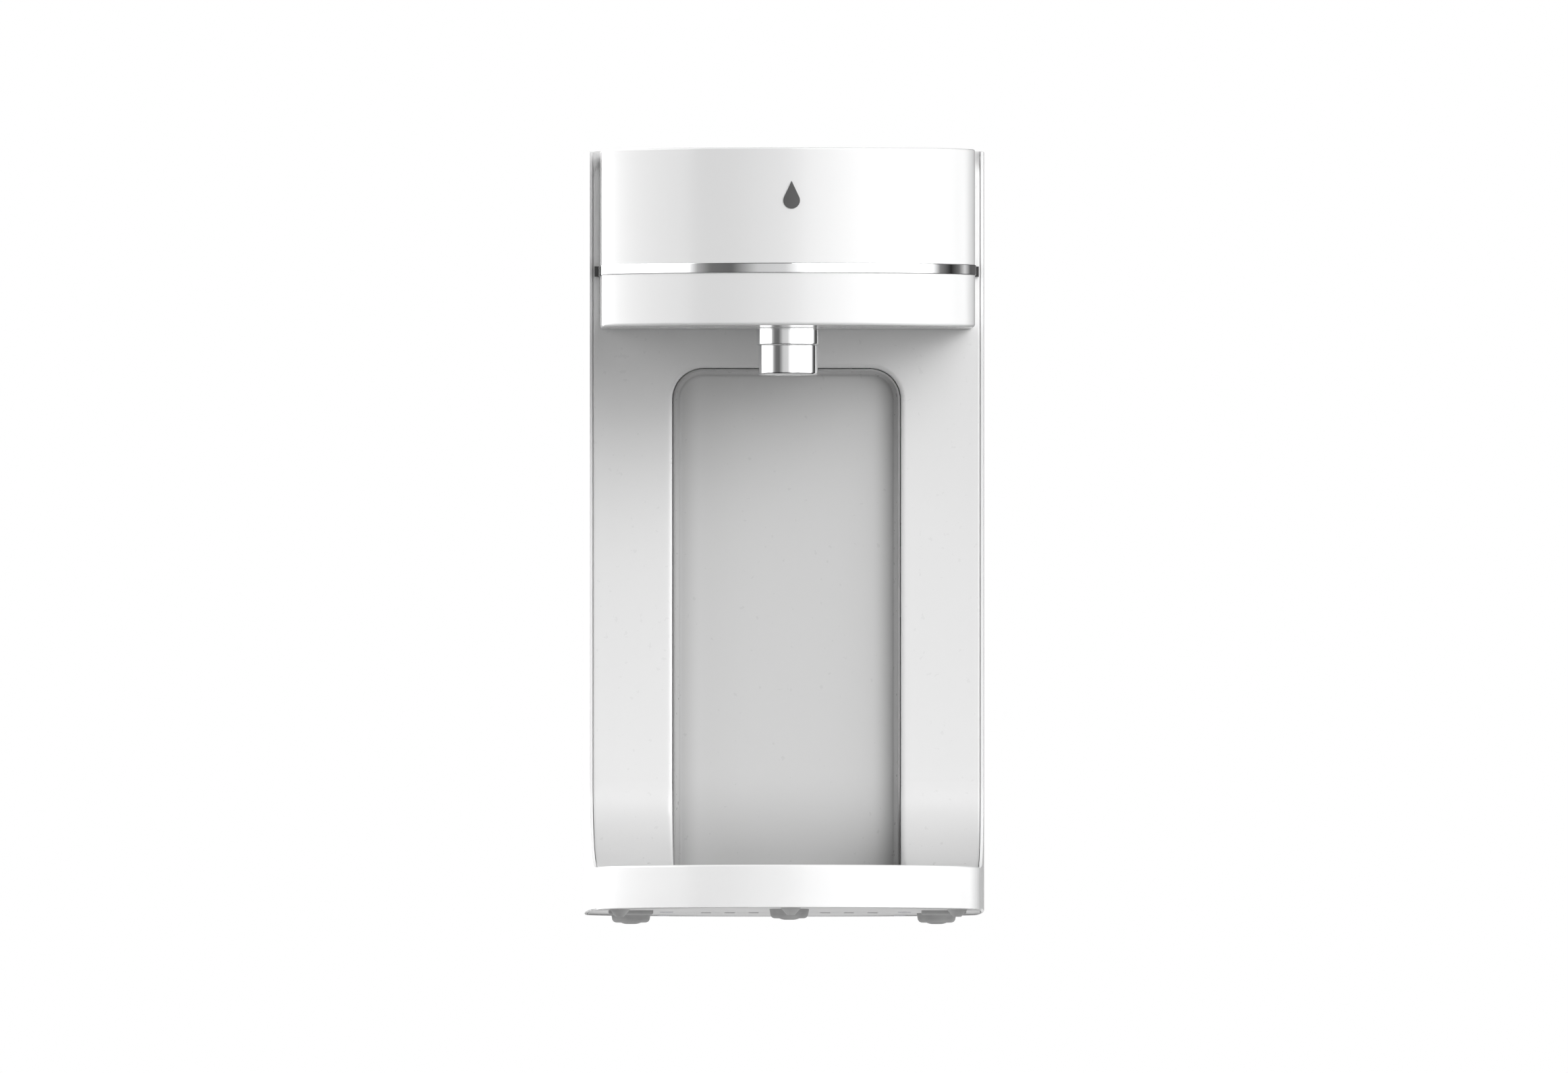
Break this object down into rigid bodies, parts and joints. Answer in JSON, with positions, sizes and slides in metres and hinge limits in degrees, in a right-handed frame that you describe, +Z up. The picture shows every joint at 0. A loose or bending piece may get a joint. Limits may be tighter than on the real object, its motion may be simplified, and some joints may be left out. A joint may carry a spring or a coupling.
{
  "type": "countertop water dispenser",
  "caption": "Countertop water dispenser: half-round head with a chrome band and spout over a drip tray, rear column and lift-out water tank.",
  "frame": {"origin": "middle of the footprint, on the surface that the feet stand on", "axes": "+Z up, the spout side faces -Y, +X to the right seen from the front"},
  "size_m": [0.201, 0.368, 0.3885],
  "materials": {
    "white_shell": "high gloss",
    "white_panel": "semi gloss",
    "grey_plastic": "matt",
    "grey_plug": "matt",
    "grey_rubber": "matt",
    "black_rubber": "matt",
    "screw_steel": "satin",
    "grille_plastic": "satin",
    "chrome": "polished",
    "aerator_plastic": "satin",
    "silicone": "matt",
    "deck_gloss": "high gloss",
    "display_glass": "polished",
    "button_white": "semi gloss",
    "circuit_board": "satin",
    "emblem_grey": "satin",
    "tank_clear": "polished",
    "valve_plastic": "satin",
    "spring_steel": "polished",
    "filter_plastic": "satin",
    "float_plastic": "satin",
    "motor_steel": "satin",
    "rotor_iron": "machined",
    "black_plastic": "satin",
    "heater_steel": "satin",
    "brass_fitting": "polished",
    "rocker_black": "semi gloss"
  },
  "bodies": {
    "casing": {"outer_shell": "white_shell", "head_upper_cover": "white_shell", "head_lower_housing": "white_shell", "front_panel": "white_panel", "recess_panel": "white_panel", "base_plate": "grey_plastic", "tank_bay": "grey_plastic", "boss_plugs": "grey_plug", "drain_caps": "grey_rubber", "rubber_feet": "grey_rubber", "base_screws": "screw_steel", "bay_screws": "screw_steel", "chrome_ring": "chrome", "spout_collar": "chrome", "spout_nozzle": "chrome", "aerator": "aerator_plastic", "spout_nut": "grey_plastic", "spout_seal": "silicone", "dock_seal": "silicone", "control_deck": "deck_gloss", "display_window": "display_glass", "display_board": "circuit_board", "main_board": "circuit_board", "power_board": "circuit_board", "emblem": "emblem_grey", "tank_dock": "grey_plastic", "pump_motor": "motor_steel", "pump_head": "black_plastic", "pump_mounts": "black_rubber", "flow_meter_body": "black_plastic", "instant_heater": "heater_steel", "heater_bracket": "motor_steel", "temperature_sensor": "brass_fitting", "thermal_cutout": "black_plastic", "suction_hose": "silicone", "pressure_hose": "silicone", "heater_hose": "silicone", "outlet_hose": "silicone", "rear_plate": "black_plastic", "power_inlet": "black_plastic", "inlet_pins": "brass_fitting", "switch_frame": "black_plastic"},
    "water_tank": {"water_tank": "tank_clear", "lid_hinge_pin": "screw_steel", "tank_valve_body": "valve_plastic", "valve_spring": "spring_steel", "float_guide": "valve_plastic"},
    "drip_tray": {"drip_tray": "white_shell"},
    "drip_grille": {"drip_grille": "grille_plastic"},
    "tank_lid": {"tank_lid": "white_shell"},
    "valve_plunger": {"valve_plunger": "valve_plastic"},
    "level_float": {"level_float": "float_plastic"},
    "filter_cartridge": {"filter_cartridge": "filter_plastic"},
    "dispense_button": {"dispense_button": "button_white"},
    "temperature_button": {"temperature_button": "button_white"},
    "volume_button": {"volume_button": "button_white"},
    "lock_button": {"lock_button": "button_white"},
    "rocker": {"rocker": "rocker_black"},
    "pump_rotor": {"pump_rotor": "rotor_iron"},
    "flow_impeller": {"flow_impeller": "valve_plastic"}
  },
  "joints": [
    {"name": "tray_slide", "type": "slide", "parent": "casing", "child": "drip_tray", "axis": [0, -1, 0], "range_m": [0, 0.15]},
    {"name": "grille_lift", "type": "slide", "parent": "drip_tray", "child": "drip_grille", "axis": [0, 0, 1], "range_m": [0, 0.03]},
    {"name": "tank_lift", "type": "slide", "parent": "casing", "child": "water_tank", "axis": [0, 0, 1], "range_m": [0, 0.36]},
    {"name": "lid_hinge", "type": "hinge", "parent": "water_tank", "child": "tank_lid", "pos_m": [0, 0.039, 0.385], "axis": [1, 0, 0], "range_deg": [0, 95]},
    {"name": "filter_turn", "type": "hinge", "parent": "water_tank", "child": "filter_cartridge", "pos_m": [0, 0.07, 0.06], "axis": [0, 0, 1], "range_deg": [0, 60]},
    {"name": "float_rise", "type": "slide", "parent": "water_tank", "child": "level_float", "axis": [0, 0, 1], "range_m": [0, 0.235]},
    {"name": "valve_lift", "type": "slide", "parent": "water_tank", "child": "valve_plunger", "axis": [0, 0, 1], "range_m": [0, 0.003], "stiffness_N_per_m": 250, "deforming": ["valve_spring"]},
    {"name": "dispense_button_press", "type": "slide", "parent": "casing", "child": "dispense_button", "axis": [0, 0, -1], "range_m": [0, 0.0012], "stiffness_N_per_m": 600},
    {"name": "temperature_button_press", "type": "slide", "parent": "casing", "child": "temperature_button", "axis": [0, 0, -1], "range_m": [0, 0.0012], "stiffness_N_per_m": 600},
    {"name": "volume_button_press", "type": "slide", "parent": "casing", "child": "volume_button", "axis": [0, 0, -1], "range_m": [0, 0.0012], "stiffness_N_per_m": 600},
    {"name": "lock_button_press", "type": "slide", "parent": "casing", "child": "lock_button", "axis": [0, 0, -1], "range_m": [0, 0.0012], "stiffness_N_per_m": 600},
    {"name": "rocker_tilt", "type": "hinge", "parent": "casing", "child": "rocker", "pos_m": [0.024, 0.1685, 0.024], "axis": [0, 0, 1], "range_deg": [0, 12]},
    {"name": "pump_spin", "type": "hinge", "parent": "casing", "child": "pump_rotor", "pos_m": [-0.03, 0.005, 0.062], "axis": [1, 0, 0], "continuous": true},
    {"name": "impeller_spin", "type": "hinge", "parent": "casing", "child": "flow_impeller", "pos_m": [0.062, 0.005, 0.142], "axis": [0, 1, 0], "continuous": true}
  ]
}
